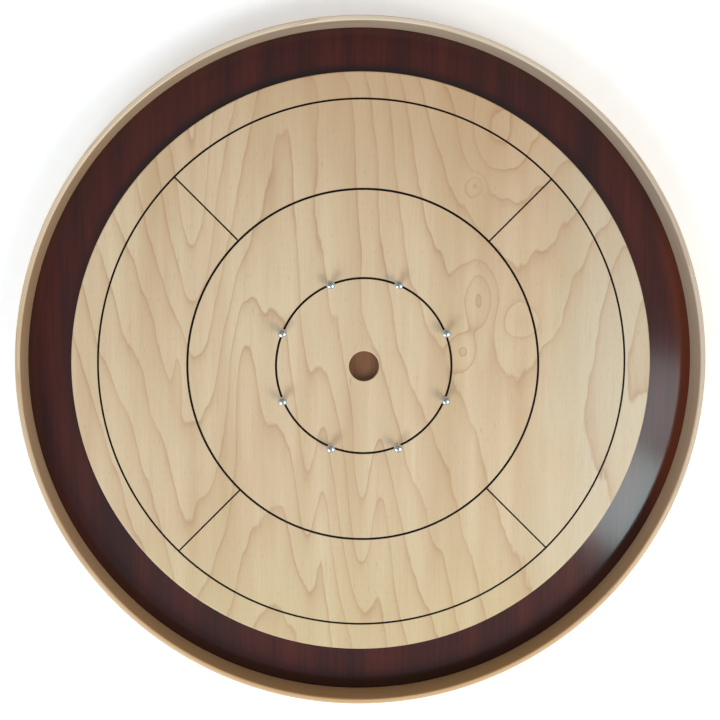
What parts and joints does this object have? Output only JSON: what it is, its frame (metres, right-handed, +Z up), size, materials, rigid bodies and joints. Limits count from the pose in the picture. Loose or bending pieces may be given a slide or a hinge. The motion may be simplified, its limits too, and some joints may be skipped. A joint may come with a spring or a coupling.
{
  "type": "crokinole board",
  "caption": "Round wooden disc-flicking game board: pale maple playing surface with ring lines, metal pegs and a centre hole, in a dark stained ditch inside a bent rail.",
  "frame": {"origin": "on the table, under the middle of the board", "axes": "+Z up out of the playing surface; +Y along the veneer's grain, away from the viewer; +X to the viewer's right, half way between two pegs"},
  "size_m": [0.7844, 0.7844, 0.0515],
  "materials": {
    "maple_veneer": "satin clear lacquer over flat-cut maple veneer, grain along Y",
    "stained_birch": "gloss varnish over dark red-brown stain, grain along Y",
    "rail_maple": "satin clear lacquer over bent maple, grain round the hoop",
    "line_lacquer": "black lacquer in a shallow groove",
    "peg_nickel": "polished bright nickel",
    "zinc_steel": "bright zinc plate",
    "foot_rubber": "matt black rubber"
  },
  "bodies": {
    "root": {"base_board": "stained_birch", "playing_surface": "maple_veneer", "rail_hoop": "rail_maple", "line_15_arc_1": "line_lacquer", "line_15_arc_2": "line_lacquer", "line_15_arc_3": "line_lacquer", "line_15_arc_4": "line_lacquer", "line_15_arc_5": "line_lacquer", "line_15_arc_6": "line_lacquer", "line_15_arc_7": "line_lacquer", "line_15_arc_8": "line_lacquer", "line_10_ring": "line_lacquer", "line_5_ring": "line_lacquer", "quadrant_line_1": "line_lacquer", "quadrant_line_2": "line_lacquer", "quadrant_line_3": "line_lacquer", "quadrant_line_4": "line_lacquer", "peg_1": "peg_nickel", "peg_2": "peg_nickel", "peg_3": "peg_nickel", "peg_4": "peg_nickel", "peg_5": "peg_nickel", "peg_6": "peg_nickel", "peg_7": "peg_nickel", "peg_8": "peg_nickel", "surface_screw_1": "zinc_steel", "surface_screw_2": "zinc_steel", "surface_screw_3": "zinc_steel", "surface_screw_4": "zinc_steel", "surface_screw_5": "zinc_steel", "surface_screw_6": "zinc_steel", "surface_screw_7": "zinc_steel", "surface_screw_8": "zinc_steel", "foot_screw_1": "zinc_steel", "foot_screw_2": "zinc_steel", "foot_screw_3": "zinc_steel", "foot_screw_4": "zinc_steel", "foot_screw_5": "zinc_steel", "foot_screw_6": "zinc_steel", "rail_nail_1": "zinc_steel", "rail_nail_2": "zinc_steel", "rail_nail_3": "zinc_steel", "rail_nail_4": "zinc_steel", "rail_nail_5": "zinc_steel", "rail_nail_6": "zinc_steel", "rail_nail_7": "zinc_steel", "rail_nail_8": "zinc_steel", "rail_nail_9": "zinc_steel", "rail_nail_10": "zinc_steel", "rail_nail_11": "zinc_steel", "rail_nail_12": "zinc_steel", "foot_1": "foot_rubber", "foot_2": "foot_rubber", "foot_3": "foot_rubber", "foot_4": "foot_rubber", "foot_5": "foot_rubber", "foot_6": "foot_rubber"}
  },
  "joints": []
}
